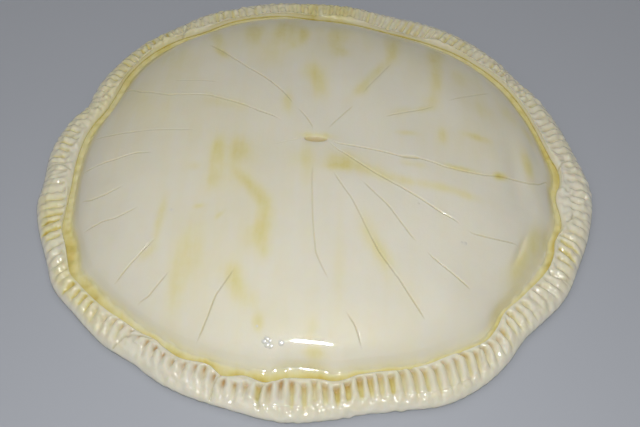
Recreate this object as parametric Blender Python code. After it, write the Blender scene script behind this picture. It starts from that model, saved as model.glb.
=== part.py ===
"""An unbaked galette des rois, ready for the oven.

Two rounds of puff pastry lie over an almond filling. The lower round's edge is rolled up
over the lid and pressed down with a fork all the way round, which leaves a trench between
the crimped rim and the domed lid. The lid is scored in thin arcs from a vent at its centre.
Crimping makes it one piece, so it is one solid. Metres, +Z up, with the origin at the
middle of the flat base.
"""

import math
import random

import bmesh
import bpy

MM = 0.001

# The fork's marks: four tines to a press, so many presses round the rim
TINES = 4
PRESSES = 43
MARKS = TINES * PRESSES
COLUMNS = 2 * MARKS  # a groove and a ridge for each mark
PITCH_DRIFT = 0.06  # the marks are wider apart at the front than at the back
MARK_JITTER = 0.13  # of the pitch
GROOVE_DEPTH = 2.5 * MM
GROOVE_SPREAD = (0.66, 1.23)  # least and most, as shares of that depth
LEAN_JITTER = 0.07  # how far one press leans off the run of its neighbours, either way
HEIGHT_SPREAD = (0.945, 1.045)  # the rim's height at a press, as shares of the section's

# The rim's section, from its foot over the top and down into the trench. Each row says where
# a point is measured from, how far inside that it is and how high, in millimetres, what share
# of a groove's depth it takes, and whether it leans with its press
RIM_SECTION = (
    ("edge", 2.6, 0.0, 0.0, False),
    ("edge", 0.0, 3.4, 0.0, False),
    ("edge", 1.7, 6.9, 0.0, False),
    ("edge", 4.2, 8.5, 0.2, True),
    ("edge", 6.2, 9.0, 0.8, True),
    ("roll", -1.3, 9.2, 1.0, True),
    ("roll", 0.0, 9.2, 0.15, True),
    ("crest", 0.0, 9.0, 0.0, False),
    ("lip", 0.0, 7.0, 0.0, False),
    ("lip", 0.2, 4.8, 0.0, False),
    ("trench", 0.0, 4.0, 0.0, False),
    ("foot", 0.0, 5.2, 0.0, False),
)
CREST_SHARE = 0.4  # of the way over the roll, from the lip
LID_FOOT_HEIGHT = RIM_SECTION[-1][2] * MM
LID_RISE = 28.5 * MM

# The dome: height is rise x (1 - q ** DOME_POWER) ** DOME_FLANK, with q from 0 to 1 at its foot
DOME_POWER = 2.6
DOME_FLANK = 0.62
LID_RINGS = (0.955, 0.88, 0.77, 0.62, 0.44, 0.26, 0.13)

# The rim's outer edge: degrees anticlockwise from +X, and radius in millimetres
EDGE = (
    (0, 150.5), (10, 147), (20, 146.5), (29, 146.5), (35, 145), (45, 147.5), (60, 148),
    (75, 145), (83, 147), (90, 147), (105, 149.5), (120, 150.5), (128, 148.5),
    (138, 148.5), (148, 146), (155, 143.5), (161, 140.5), (166, 143.5), (176, 146.5),
    (185, 146), (191, 148.5), (205, 148), (212, 150), (219, 148), (228, 147.5),
    (235, 145.5), (243, 147), (256, 146.5), (266, 148), (275, 146), (282, 144.5),
    (290, 146.5), (297, 150), (306, 149.5), (312, 147), (318, 143.5), (324, 144.5),
    (331, 147), (341, 147), (352, 149.5),
)
# The rolled lip's inner edge, which bulges where each press pushed the dough inwards
LIP = (
    (0, 132.5), (3, 133.5), (6, 133), (9, 131.5), (14, 130.6), (20, 130.8), (28, 132),
    (35, 133), (50, 132), (60, 129.5), (71, 127), (83, 128.5), (93, 130), (101, 134),
    (113, 136), (123, 134), (130, 136), (139, 136), (148, 133), (155, 129), (161, 127.5),
    (166, 129), (171, 130), (180, 130), (186, 130.2), (190, 131.2), (195, 133.6),
    (200, 136.5), (205, 137), (209, 138.7), (212.5, 140.3), (216, 139), (220, 137.6),
    (225, 135.8), (230, 133.2), (234, 132), (237, 130.8), (240, 132), (244, 132.8),
    (250, 129.8), (253.5, 132.9), (257.5, 130), (262, 131.4), (264, 130), (266.5, 127.5),
    (270, 127), (273, 127.1), (276, 128.5), (278.5, 127.8), (281, 126.2), (284, 126),
    (287, 126.6), (292, 129), (296, 130.2), (301, 130.6),
    (306, 132.3), (310, 133.3), (314, 131.3), (318, 128.4), (323, 129.4), (328, 130.8),
    (335, 133.2), (339, 133), (343, 131.7), (347.5, 133.5), (351, 132.2), (355, 130),
    (358, 130.6),
)
# Width of the smooth roll between the trench and the grooves' inner ends, in millimetres
ROLL = (
    (0, 3), (4, 1.8), (8, 3.6), (13, 1.8), (30, 1.8), (50, 2), (57, 3.5), (63, 1.6),
    (76, 1.6), (84, 3.6), (94, 1.4), (119, 1.4), (124.5, 4), (129, 1.5), (134, 4),
    (139, 1.5), (152, 1.6), (157, 4.4), (162, 5), (167, 4.6), (171, 2.5), (178, 4.5),
    (186, 5), (191, 1.2), (200, 1), (212, 0.8), (225, 1.2), (231, 2.4), (234.5, 5.4),
    (238, 5), (247, 4.2), (253, 2), (258, 4.5), (264, 2.6), (270, 3.6), (285, 4),
    (292, 1.6), (310, 1.2), (330, 1.2), (344, 1.6), (349, 5), (354, 7), (358, 5),
)
# Width of the trench between the lip and the lid's foot, in millimetres
TRENCH = (
    (0, 4), (12, 2.5), (20, 2.5), (28, 3.3), (60, 3), (100, 3), (150, 3.5), (180, 3.4),
    (187, 3), (195, 4), (201, 5.4), (213, 5.9), (225, 5.8), (231, 4), (237, 3), (240, 4.2),
    (244, 5.1), (250, 3.7), (253.5, 6.7), (257.5, 4.4), (261, 6), (264, 6.9), (267, 6.1),
    (272, 5.9), (275, 5.5), (277.5, 4.6), (281, 3.6), (286, 3), (292, 3.6), (300, 3), (308, 3),
    (314, 2.5), (318, 2.6), (324, 3.2), (329, 3.9), (334, 4.4), (339, 4.1), (344, 3.7),
    (347.5, 3.9), (351, 3.2), (355, 2.5),
)
# How far a press leans away from the radius: degrees, and the tangent of its lean
LEAN = (
    (0, 0.0), (6, 0.1), (15, 0.3), (25, 0.2), (38, 0.3), (50, 0.1), (70, 0.0), (95, 0.0),
    (117, -0.2), (130, -0.35), (142, -0.1), (160, 0.0), (175, -0.25), (185, 0.0),
    (200, 0.05), (212, 0.15), (221, 0.42), (228, 0.35), (235, 0.25), (243, 0.28),
    (258, 0.12), (266, 0.08), (275, 0.0), (284, -0.08), (291, -0.2), (298, -0.3),
    (305, -0.48), (311, -0.4), (318, -0.25), (333, -0.2), (341, -0.42), (347, -0.2),
    (353, 0.0),
)
# How hard the fork was pressed: degrees, and share of the full depth
PRESSED = (
    (0, 0.75), (3.7, 0.35), (8, 0.9), (20, 0.9), (60, 1.0), (78, 1.0), (103, 0.8),
    (122, 0.75), (140, 0.9), (160, 0.8), (184, 0.8), (199, 0.9), (228, 0.9), (232, 0.55),
    (234.8, 0.0), (237.3, 0.95), (246, 0.9), (278, 1.0), (293, 0.95), (306, 0.9),
    (326, 0.8), (334, 0.8), (340, 0.95), (353, 0.8),
)
# The scored arcs: degrees at 20, 70 and 120 mm from the vent, then where the cut starts
# and ends and how deep it goes, in millimetres
SCORES = (
    (31, 29, 32, 42, 114, 0.5), (59, 59, 60, 12, 80, 0.4), (112, 125, 128.5, 8, 106, 0.8),
    (134, 141, 149, 70, 98, 0.4), (140.5, 151, 155, 24, 126, 1.0),
    (176, 174, 173.5, 66, 125, 0.7), (187, 186, 184.8, 84, 125, 0.8),
    (197, 196, 195.5, 102, 125, 0.8), (208, 207, 204, 98, 127, 0.7),
    (219, 219, 220.5, 99, 126, 1.0), (231, 231, 229.5, 100, 125, 0.8),
    (247, 246, 245.5, 88, 124, 1.0), (266, 272, 284, 18, 117, 0.6),
    (293, 296.5, 300.5, 24, 113, 0.9), (314, 311.5, 315, 36, 112, 0.8),
    (330, 327.5, 335, 6, 116, 1.0), (354.5, 351, 357.5, 4, 127, 1.0),
)
SCORE_RADII = (20 * MM, 70 * MM, 120 * MM)
SCORE_EDGE = 1.6 * MM  # from the bottom of a cut to its shoulder
COLUMNS_A_SCORE = 5

# The vent at the centre, a slot cut with a knife's point
VENT_SIDES = 16
VENT_LENGTH = 9 * MM
VENT_WIDTH = 3 * MM
VENT_DEPTH = 5 * MM
# The vent's rings, outer first: size as a share of the slot's, and depth as a share of its
VENT_RINGS = ((1.9, 0.0), (1.0, 0.12), (0.7, 1.0))

DOUGH_COLOUR = (0.66, 0.60, 0.42, 1.0)


def around(knots, angle):
    """The value at an angle of a closed smooth curve through (degrees, value) knots."""
    degrees = math.degrees(angle) % 360.0
    count = len(knots)
    after = next((i for i, knot in enumerate(knots) if knot[0] > degrees), 0)
    four = [knots[(after + step) % count] for step in (-2, -1, 0, 1)]
    places = [(knot[0] - degrees + 180.0) % 360.0 - 180.0 for knot in four]
    values = [knot[1] for knot in four]
    span = places[2] - places[1]
    share = -places[1] / span
    slope_in = (values[2] - values[0]) / (places[2] - places[0]) * span
    slope_out = (values[3] - values[1]) / (places[3] - places[1]) * span
    square, cube = share * share, share**3
    return (
        values[1] * (2 * cube - 3 * square + 1)
        + slope_in * (cube - 2 * square + share)
        + values[2] * (3 * square - 2 * cube)
        + slope_out * (cube - square)
    )


def lid_foot(angle):
    return (around(LIP, angle) - around(TRENCH, angle)) * MM


def even_foot(angle):
    """The lid's foot without the lip's lobes, which the dome doesn't follow."""
    reach = [math.radians(step) for step in range(-16, 17, 4)]
    return sum(lid_foot(angle + step) for step in reach) / len(reach)


def fork_marks():
    """The angle, depth, lean and height of each fork mark, press by press."""
    dice = random.Random(11)
    marks = []
    for press in range(PRESSES):
        lean = dice.uniform(-LEAN_JITTER, LEAN_JITTER)
        weight = math.sqrt(dice.uniform(*GROOVE_SPREAD))
        height = dice.uniform(*HEIGHT_SPREAD)
        for tine in range(TINES):
            turn = (press * TINES + tine + dice.uniform(-MARK_JITTER, MARK_JITTER)) / MARKS
            angle = math.tau * turn + PITCH_DRIFT * math.cos(math.tau * turn)
            depth = GROOVE_DEPTH * weight * math.sqrt(dice.uniform(*GROOVE_SPREAD))
            depth *= max(around(PRESSED, angle), 0.0)
            marks.append((angle, depth, around(LEAN, angle) + lean, height))
    return marks


def ridge_after(mark, following, turn):
    """The ridge between two fork marks, halfway in everything and with no depth."""
    angle = (mark[0] + following[0] + turn) / 2
    return angle, 0.0, (mark[2] + following[2]) / 2, (mark[3] + following[3]) / 2


def rim_columns():
    """A groove's column and a ridge's column in turn, each as (angle, depth, lean, height)."""
    marks = fork_marks()
    columns = []
    for number, mark in enumerate(marks):
        last = number + 1 == MARKS
        following = marks[0 if last else number + 1]
        columns += [mark, ridge_after(mark, following, math.tau if last else 0.0)]
    return columns


def rim_point(column, row):
    """A point of the rim, on this column and this row of its section."""
    angle, depth, lean, height = column
    place, inset, rise, share, leans = row
    edge, lip, roll, trench = (around(curve, angle) for curve in (EDGE, LIP, ROLL, TRENCH))
    radius = MM * {
        "edge": edge - inset,
        "roll": lip + roll - inset,
        "crest": lip + CREST_SHARE * roll - inset,
        "lip": lip - inset,
        "trench": lip - trench / 2 - inset,
        "foot": lip - trench - inset,
    }[place]
    if leans:
        angle += lean * (radius - MM * (edge + lip) / 2) / radius
    over_trench = place in ("trench", "foot")
    up = rise * MM * (1.0 if over_trench else height) - share * depth
    return (radius * math.cos(angle), radius * math.sin(angle), up)


def score_angle(score, radius):
    """The angle of a scored arc at a radius, from its angles at the three set radii."""
    inner, middle, outer = SCORE_RADII
    first, second, third = (math.radians(value) for value in score[:3])
    a, b, c = radius - inner, radius - middle, radius - outer
    return (
        first * b * c / ((inner - middle) * (inner - outer))
        + second * a * c / ((middle - inner) * (middle - outer))
        + third * a * b / ((outer - inner) * (outer - middle))
    )


def score_depth(score, radius):
    """How deep an arc is cut at a radius, with ends that rise over a tenth of its length."""
    start, end, depth = (value * MM for value in score[3:])
    ramp = 0.1 * (end - start)
    inside = min(radius - start, end - radius)
    return depth * min(max(inside / ramp, 0.0), 1.0)


def lid_column(column, radius):
    """The angle of a column of the lid at a radius, and how deep it is cut there."""
    which, place = divmod(column, COLUMNS_A_SCORE)
    score = SCORES[which]
    here = score_angle(score, radius)
    following = SCORES[(which + 1) % len(SCORES)]
    ahead = score_angle(following, radius)
    if which + 1 == len(SCORES):
        ahead += math.tau
    shoulder = min(SCORE_EDGE / radius, (ahead - here) / 4)
    if place == 0:
        return here, score_depth(score, radius)
    if place == 1:
        return here + shoulder, 0.0
    if place == COLUMNS_A_SCORE - 1:
        return ahead - shoulder, 0.0
    share = (place - 1) / (COLUMNS_A_SCORE - 2)
    return here + shoulder + (ahead - here - 2 * shoulder) * share, 0.0


def dome_height(share):
    """The lid's height where a point is this share of the way from its centre to its foot."""
    return LID_FOOT_HEIGHT + LID_RISE * (1 - min(share, 1.0) ** DOME_POWER) ** DOME_FLANK


def place_on_lid(column, share):
    """A point of the lid on this column, at this share of the way out to the lid's foot."""
    radius = share * SCORE_RADII[2]
    for _ in range(3):
        angle, depth = lid_column(column, radius)
        even = even_foot(angle)
        radius = share * even + (lid_foot(angle) - even) * share**16
    return (radius * math.cos(angle), radius * math.sin(angle), dome_height(share) - depth)


def spun_rings(bm, radii, steps):
    """The points of a flat sheet of concentric rings, made by spinning one line of points."""
    earlier = set(bm.verts)
    points = [bm.verts.new((radius, 0.0, 0.0)) for radius in radii]
    edges = [bm.edges.new(pair) for pair in zip(points, points[1:])]
    bmesh.ops.spin(
        bm, geom=points + edges, axis=(0, 0, 1), cent=(0, 0, 0), dvec=(0, 0, 0),
        angle=math.tau, steps=steps, use_merge=True, use_duplicate=False,
    )
    return [vert for vert in bm.verts if vert not in earlier]


def ring_and_column(vert, radii, columns):
    """Which ring and which column of a spun sheet a point is on."""
    radius = math.hypot(vert.co.x, vert.co.y)
    ring = min(range(len(radii)), key=lambda i: abs(radii[i] - radius))
    turn = math.atan2(vert.co.y, vert.co.x) / math.tau
    return ring, round(turn * columns) % columns


def rim_sheet(bm):
    """The rim from its foot, over the crimped top and the lip, down into the trench."""
    columns = rim_columns()
    radii = [1.0 - 0.05 * step for step in range(len(RIM_SECTION))]
    foot, trench = [], []
    for vert in spun_rings(bm, radii, COLUMNS):
        ring, column = ring_and_column(vert, radii, COLUMNS)
        if ring == 0:
            foot.append(vert)
        if ring == len(radii) - 1:
            trench.append(vert)
        vert.co = rim_point(columns[column], RIM_SECTION[ring])
    return foot, trench


def lid_sheet(bm):
    """The domed, scored lid, out to just short of its foot."""
    columns = COLUMNS_A_SCORE * len(SCORES)
    radii = [0.4 - 0.03 * step for step in range(len(LID_RINGS))]
    outer, inner = [], []
    for vert in spun_rings(bm, radii, columns):
        ring, column = ring_and_column(vert, radii, columns)
        if ring == 0:
            outer.append(vert)
        if ring == len(radii) - 1:
            inner.append(vert)
        vert.co = place_on_lid(column, LID_RINGS[ring])
    return outer, inner


def vent_sheet(bm):
    """The slot at the centre and the dough drawn down around it."""
    radii = (0.08, 0.05, 0.02)
    outer, inner = [], []
    for vert in spun_rings(bm, radii, VENT_SIDES):
        ring, column = ring_and_column(vert, radii, VENT_SIDES)
        if ring == 0:
            outer.append(vert)
        if ring == len(radii) - 1:
            inner.append(vert)
        size, depth = VENT_RINGS[ring]
        angle = math.tau * column / VENT_SIDES
        vert.co = (
            size * VENT_LENGTH / 2 * math.cos(angle),
            size * VENT_WIDTH / 2 * math.sin(angle),
            dome_height(0.0) - depth * VENT_DEPTH,
        )
    bmesh.ops.contextual_create(bm, geom=inner)
    return outer


def loop_edges(*loops):
    """The edges that run along these loops of points."""
    edges = []
    for loop in loops:
        members = set(loop)
        for vert in loop:
            edges += [edge for edge in vert.link_edges if edge.other_vert(vert) in members]
    return list(set(edges))


def dough_material():
    material = bpy.data.materials.new("egg_washed_dough")
    material.use_nodes = True
    shader = material.node_tree.nodes["Principled BSDF"]
    shader.inputs["Base Color"].default_value = DOUGH_COLOUR
    shader.inputs["Roughness"].default_value = 0.4
    shader.inputs["Metallic"].default_value = 0.0
    return material


def build_galette(collection):
    bm = bmesh.new()
    foot, trench = rim_sheet(bm)
    lid_outer, lid_inner = lid_sheet(bm)
    vent = vent_sheet(bm)
    bmesh.ops.bridge_loops(bm, edges=loop_edges(trench, lid_outer))
    bmesh.ops.bridge_loops(bm, edges=loop_edges(lid_inner, vent))
    bmesh.ops.contextual_create(bm, geom=foot)
    bmesh.ops.triangulate(bm, faces=bm.faces[:])
    bmesh.ops.recalc_face_normals(bm, faces=bm.faces[:])
    mesh = bpy.data.meshes.new("galette")
    bm.to_mesh(mesh)
    bm.free()
    mesh.shade_smooth()
    mesh.set_sharp_from_angle(angle=math.radians(50))
    galette = bpy.data.objects.new("galette", mesh)
    galette.data.materials.append(dough_material())
    collection.objects.link(galette)
    return galette


for old in list(bpy.data.objects):
    bpy.data.objects.remove(old)
parts = bpy.data.collections.new("galette des rois")
bpy.context.scene.collection.children.link(parts)
build_galette(parts)
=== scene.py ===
"""Looks of an unbaked galette des rois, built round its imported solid.

Four pieces of dough and egg stand for the solid: the lower round with its edge rolled up and
crimped by a fork, the domed upper round with its scored arcs and vent, the egg wash that has
run down into the trench between them, and a few beads of egg on top. Metres, +Z up, while the
tables and the shapes are worked out in millimetres.
"""

import math
import random

import bmesh
import bpy
import numpy as np
from mathutils import Matrix, Vector


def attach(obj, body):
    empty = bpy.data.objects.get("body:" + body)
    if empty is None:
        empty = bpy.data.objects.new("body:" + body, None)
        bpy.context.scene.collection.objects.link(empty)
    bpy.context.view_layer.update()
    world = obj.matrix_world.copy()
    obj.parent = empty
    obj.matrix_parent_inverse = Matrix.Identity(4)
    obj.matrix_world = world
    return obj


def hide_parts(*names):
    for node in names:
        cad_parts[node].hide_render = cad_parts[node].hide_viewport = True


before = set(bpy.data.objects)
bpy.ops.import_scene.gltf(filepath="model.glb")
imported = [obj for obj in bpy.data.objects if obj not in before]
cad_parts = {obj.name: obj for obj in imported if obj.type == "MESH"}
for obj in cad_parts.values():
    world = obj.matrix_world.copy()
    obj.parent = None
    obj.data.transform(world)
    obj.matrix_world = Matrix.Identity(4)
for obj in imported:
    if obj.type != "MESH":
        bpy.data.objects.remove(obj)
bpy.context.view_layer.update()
MM = 0.001

# ---------------------------------------------------------------- measures of the solid
TINES = 4
PRESSES = 43
MARKS = TINES * PRESSES
PITCH_DRIFT = 0.06
MARK_JITTER = 0.13
GROOVE_DEPTH = 2.5
GROOVE_SPREAD = (0.66, 1.23)
LEAN_JITTER = 0.07
HEIGHT_SPREAD = (0.945, 1.045)
LID_FOOT_HEIGHT = 5.2
LID_RISE = 28.5
DOME_POWER = 2.6
DOME_FLANK = 0.62
SKIRT = 0.968  # share of the way out from which the lid's flank eases off to its foot
SKIRT_FOOT = 6.6
SKIRT_SLOPE = -95.0  # of the flank at the foot, in millimetres for the whole way out

# Closed curves round the galette: degrees anticlockwise from +X, and millimetres
EDGE = (
    (0, 150.5), (10, 147), (20, 146.5), (29, 146.5), (35, 145), (45, 147.5), (60, 148),
    (75, 145), (83, 147), (90, 147), (105, 149.5), (120, 150.5), (128, 148.5),
    (138, 148.5), (148, 146), (155, 143.5), (161, 140.5), (166, 143.5), (176, 146.5),
    (185, 146), (191, 148.5), (205, 148), (212, 150), (219, 148), (228, 147.5),
    (235, 145.5), (243, 147), (256, 146.5), (266, 148), (275, 146), (282, 144.5),
    (290, 146.5), (297, 150), (306, 149.5), (312, 147), (318, 143.5), (324, 144.5),
    (331, 147), (341, 147), (352, 149.5),
)
LIP = (
    (0, 132.5), (3, 133.5), (6, 133), (9, 131.5), (14, 130.6), (20, 130.8), (28, 132),
    (35, 133), (50, 132), (60, 129.5), (71, 127), (83, 128.5), (93, 130), (101, 134),
    (113, 136), (123, 134), (130, 136), (139, 136), (148, 133), (155, 129), (161, 127.5),
    (166, 129), (171, 130), (180, 130), (186, 130.2), (190, 131.2), (195, 133.6),
    (200, 136.5), (205, 137), (209, 138.7), (212.5, 140.3), (216, 139), (220, 137.6),
    (225, 135.8), (230, 133.2), (234, 132), (237, 130.8), (240, 132), (244, 132.8),
    (250, 129.8), (253.5, 132.9), (257.5, 130), (262, 131.4), (264, 130), (266.5, 127.5),
    (270, 127), (273, 127.1), (276, 128.5), (278.5, 127.8), (281, 126.2), (284, 126),
    (287, 126.6), (292, 129), (296, 130.2), (301, 130.6),
    (306, 132.3), (310, 133.3), (314, 131.3), (318, 128.4), (323, 129.4), (328, 130.8),
    (335, 133.2), (339, 133), (343, 131.7), (347.5, 133.5), (351, 132.2), (355, 130),
    (358, 130.6),
)
ROLL = (
    (0, 3), (4, 1.8), (8, 3.6), (13, 1.8), (30, 1.8), (50, 2), (57, 3.5), (63, 1.6),
    (76, 1.6), (84, 3.6), (94, 1.4), (119, 1.4), (124.5, 4), (129, 1.5), (134, 4),
    (139, 1.5), (152, 1.6), (157, 4.4), (162, 5), (167, 4.6), (171, 2.5), (178, 4.5),
    (186, 5), (191, 1.2), (200, 1), (212, 0.8), (225, 1.2), (231, 2.4), (234.5, 5.4),
    (238, 5), (247, 4.2), (253, 2), (258, 4.5), (264, 2.6), (270, 3.6), (285, 4),
    (292, 1.6), (310, 1.2), (330, 1.2), (344, 1.6), (349, 5), (354, 7), (358, 5),
)
TRENCH = (
    (0, 4), (12, 2.5), (20, 2.5), (28, 3.3), (60, 3), (100, 3), (150, 3.5), (180, 3.4),
    (187, 3), (195, 4), (201, 5.4), (213, 5.9), (225, 5.8), (231, 4), (237, 3), (240, 4.2),
    (244, 5.1), (250, 3.7), (253.5, 6.7), (257.5, 4.4), (261, 6), (264, 6.9), (267, 6.1),
    (272, 5.9), (275, 5.5), (277.5, 4.6), (281, 3.6), (286, 3), (292, 3.6), (300, 3), (308, 3),
    (314, 2.5), (318, 2.6), (324, 3.2), (329, 3.9), (334, 4.4), (339, 4.1), (344, 3.7),
    (347.5, 3.9), (351, 3.2), (355, 2.5),
)
# How far a press leans away from the radius: degrees, and the tangent of its lean
LEAN = (
    (0, 0.0), (6, 0.1), (15, 0.3), (25, 0.2), (38, 0.3), (50, 0.1), (70, 0.0), (95, 0.0),
    (117, -0.2), (130, -0.35), (142, -0.1), (160, 0.0), (175, -0.25), (185, 0.0),
    (200, 0.05), (212, 0.15), (221, 0.42), (228, 0.35), (235, 0.25), (243, 0.28),
    (258, 0.12), (266, 0.08), (275, 0.0), (284, -0.08), (291, -0.2), (298, -0.3),
    (305, -0.48), (311, -0.4), (318, -0.25), (333, -0.2), (341, -0.42), (347, -0.2),
    (353, 0.0),
)
# How hard the fork was pressed: degrees, and share of the full depth
PRESSED = (
    (0, 0.75), (3.7, 0.35), (8, 0.9), (20, 0.9), (60, 1.0), (78, 1.0), (103, 0.8),
    (122, 0.75), (140, 0.9), (160, 0.8), (184, 0.8), (199, 0.9), (228, 0.9), (232, 0.55),
    (234.8, 0.0), (237.3, 0.95), (246, 0.9), (278, 1.0), (293, 0.95), (306, 0.9),
    (326, 0.8), (334, 0.8), (340, 0.95), (353, 0.8),
)

# ---------------------------------------------------------------- the crimped lower round
# Its section, from under the outer edge over the crimps and down into the trench: where each
# point is measured from, how far inside that it is and how high, in millimetres
SECTION = (
    ("edge", 6.0, 0.0), ("edge", 2.2, 0.05), ("edge", 0.7, 1.3), ("edge", 0.0, 3.3),
    ("edge", 0.7, 5.1), ("edge", 2.5, 6.8), ("edge", 4.8, 8.0), ("edge", 6.6, 8.7),
    ("roll", -1.3, 9.1), ("roll", 0.8, 9.4), ("crest", 0.0, 9.1), ("lip", -0.5, 8.2),
    ("lip", 0.1, 6.9), ("lip", -0.3, 5.5), ("lip", -0.6, 4.4), ("trench", 0.0, 3.8),
    ("foot", 0.0, 3.6), ("foot", 5.0, 3.2),
)
CREST_SHARE = 0.4
ROWS_BETWEEN = (1, 1, 2, 3, 3, 5, 5, 7, 6, 5, 4, 4, 3, 2, 2, 1, 1)
COLUMNS_A_MARK = 10

# Each mark, in millimetres: half the width of its floor and how far it is from its outer end
# to the edge, both round the rim from degrees anticlockwise from +X
MARK_FLOOR = (
    (0, 0.25), (40, 0.25), (60, 0.5), (78, 0.7), (103, 0.5), (122, 0.3), (150, 0.25),
    (190, 0.2), (199, 0.35), (213, 0.35), (235, 0.25), (256, 0.3), (260, 0.6), (265, 0.5),
    (271, 0.85), (286, 0.8), (300, 0.4), (318, 0.3), (340, 0.3),
)
MARK_STOP = (
    (0, 1.2), (31, 1.8), (60, 2.4), (103, 2.6), (150, 2.4), (184, 1), (221, 0.8), (232, 1.6),
    (238, 2.8), (255, 2.6), (278, 3.2), (286, 3.0), (293, 2.0), (306, 1.2), (312, 1.6),
    (340, 1.0),
)
MARK_RADIUS = 140.0  # where the marks' spacing round the rim is measured
MARK_WALL = 2.15  # from its middle to the top of its wall
MARK_WALL_POWER = 1.9
# What share of the fork's depth is left once the dough has sprung back
MARK_SOFTNESS = (
    (0, 0.62), (60, 0.68), (100, 0.58), (150, 0.56), (190, 0.62), (225, 0.72), (238, 0.9),
    (300, 0.9), (320, 0.66),
)
# How much further in than the roll's width it starts: degrees, and millimetres
MARK_ONSET = (
    (0, 0), (225, 0), (234, 2.4), (240, 3), (246, 2.4), (251, 0.8), (262, 0), (280, 1), (300, 0),
)
# How far out from its inner end a mark is at its full depth: degrees, and millimetres
MARK_RAMP = (
    (0, 4.5), (40, 4), (60, 1.8), (120, 1.8), (150, 2.5), (175, 3.5), (215, 3.5), (230, 1.6),
    (238, 0.9), (300, 1), (315, 2.5), (330, 4),
)
MARK_NARROWS = 0.35  # share of its width that it loses on the way out
# How soon a mark gets shallower on its way out: degrees, and the power it falls with
MARK_FADE = (
    (0, 0.45), (60, 0.5), (150, 0.4), (220, 0.5), (237, 0.55), (256, 0.5), (275, 0.45),
    (290, 0.45), (305, 0.45), (340, 0.45),
)
RIDGE_CROWN = 0.5
TIP_BITE = 0.3  # how much deeper the tines' tips went in
END_JITTER = 1.3
# Egg lying in the marks and on the ridges, and how strong the warm shade painted into the folds is
EGG_IN_MARKS = (
    (0, 0.12), (15, 0.18), (25, 0.35), (38, 0.4), (50, 0.5), (60, 0.5), (72, 0.3),
    (78, 0.5), (90, 0.6), (103, 0.36), (117, 0.45), (124, 0.3), (130, 0.65), (140, 0.65),
    (160, 0.35), (176, 0.45), (184, 0.2), (190, 0.3), (193, 0.55), (199, 0.95), (205, 0.4),
    (213, 0.9), (221, 0.6), (228, 0.3), (235, 0.1), (255, 0.12), (260, 0.5), (265, 0.25),
    (271, 0.6), (286, 0.55), (293, 0.45), (306, 0.4), (312, 0.25), (317, 0.55),
    (326, 0.12), (334, 0.2), (340, 0.55), (347, 0.3), (353, 0.1),
)
EGG_ON_RIDGES = (
    (0, 0.05), (25, 0.1), (50, 0.2), (60, 0.16), (70, 0.12), (78, 0.2), (88, 0.46),
    (96, 0.34), (107, 0.18), (117, 0.26), (124, 0.2), (130, 0.3), (160, 0.26), (184, 0.08),
    (199, 0.35), (205, 0.15), (213, 0.38), (228, 0.1), (250, 0.04), (275, 0.1), (310, 0.08),
    (340, 0.1),
)
WARMTH = (
    (0, 0.2), (15, 0.4), (31, 0.2), (40, 0.35), (60, 0.15), (103, 0.1), (150, 0.25),
    (165, 0.1), (176, 0.2), (205, 0.1), (228, 0.3), (238, 0.85), (246, 0.6), (255, 0.85),
    (260, 0.35), (265, 0.8), (271, 0.4), (278, 0.6), (286, 0.4), (300, 0.45), (312, 0.55),
    (326, 0.25), (353, 0.15),
)
# Creases where two folds of the rim meet: a path as (degrees, millimetres from the middle),
# then how deep it is and half its width
CREASES = (
    (((231.4, 146), (231.7, 142), (232, 138.5), (232.8, 136), (234.2, 134), (236.2, 131.8)),
     0.8, 0.5),
    (((253, 145.5), (252.7, 141), (252.8, 136), (253.4, 133)), 0.8, 0.5),
    (((262, 144), (261.5, 139), (261.9, 133.5)), 0.7, 0.7),
    (((181.8, 145), (181.2, 139), (181.5, 135.5), (182.8, 132)), 0.8, 0.5),
    (((184.4, 143), (184.1, 138), (183.5, 134)), 0.6, 0.5),
    (((172.4, 142), (172.2, 137), (171.6, 134)), 0.8, 0.5),
    (((162.8, 140), (162.4, 137), (161.6, 132)), 0.7, 0.5),
    (((4.2, 132.4), (5.4, 134.2), (6.7, 136.8), (7, 142)), 0.7, 0.5),
    (((34.5, 134), (36.4, 137), (38.2, 139.5), (40.4, 137.5), (42.6, 134.5)), 0.6, 0.5),
    (((56.8, 138), (58.6, 136), (60.2, 133), (61.6, 131)), 0.8, 0.6),
    (((306.4, 140), (307, 136.5), (308.3, 133.6)), 0.7, 0.5),
    (((334, 144), (333.6, 140), (333.4, 136.5), (334.4, 133.6)), 0.8, 0.5),
    (((349, 136), (349.8, 138), (351, 138.6)), 0.8, 0.5),
    (((126.4, 140), (128, 137), (129.6, 134)), 0.8, 0.7),
)
RIM_WAVES = (30, (3.0, 9.0), 0.06)  # how many, their lengths and their height

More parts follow.
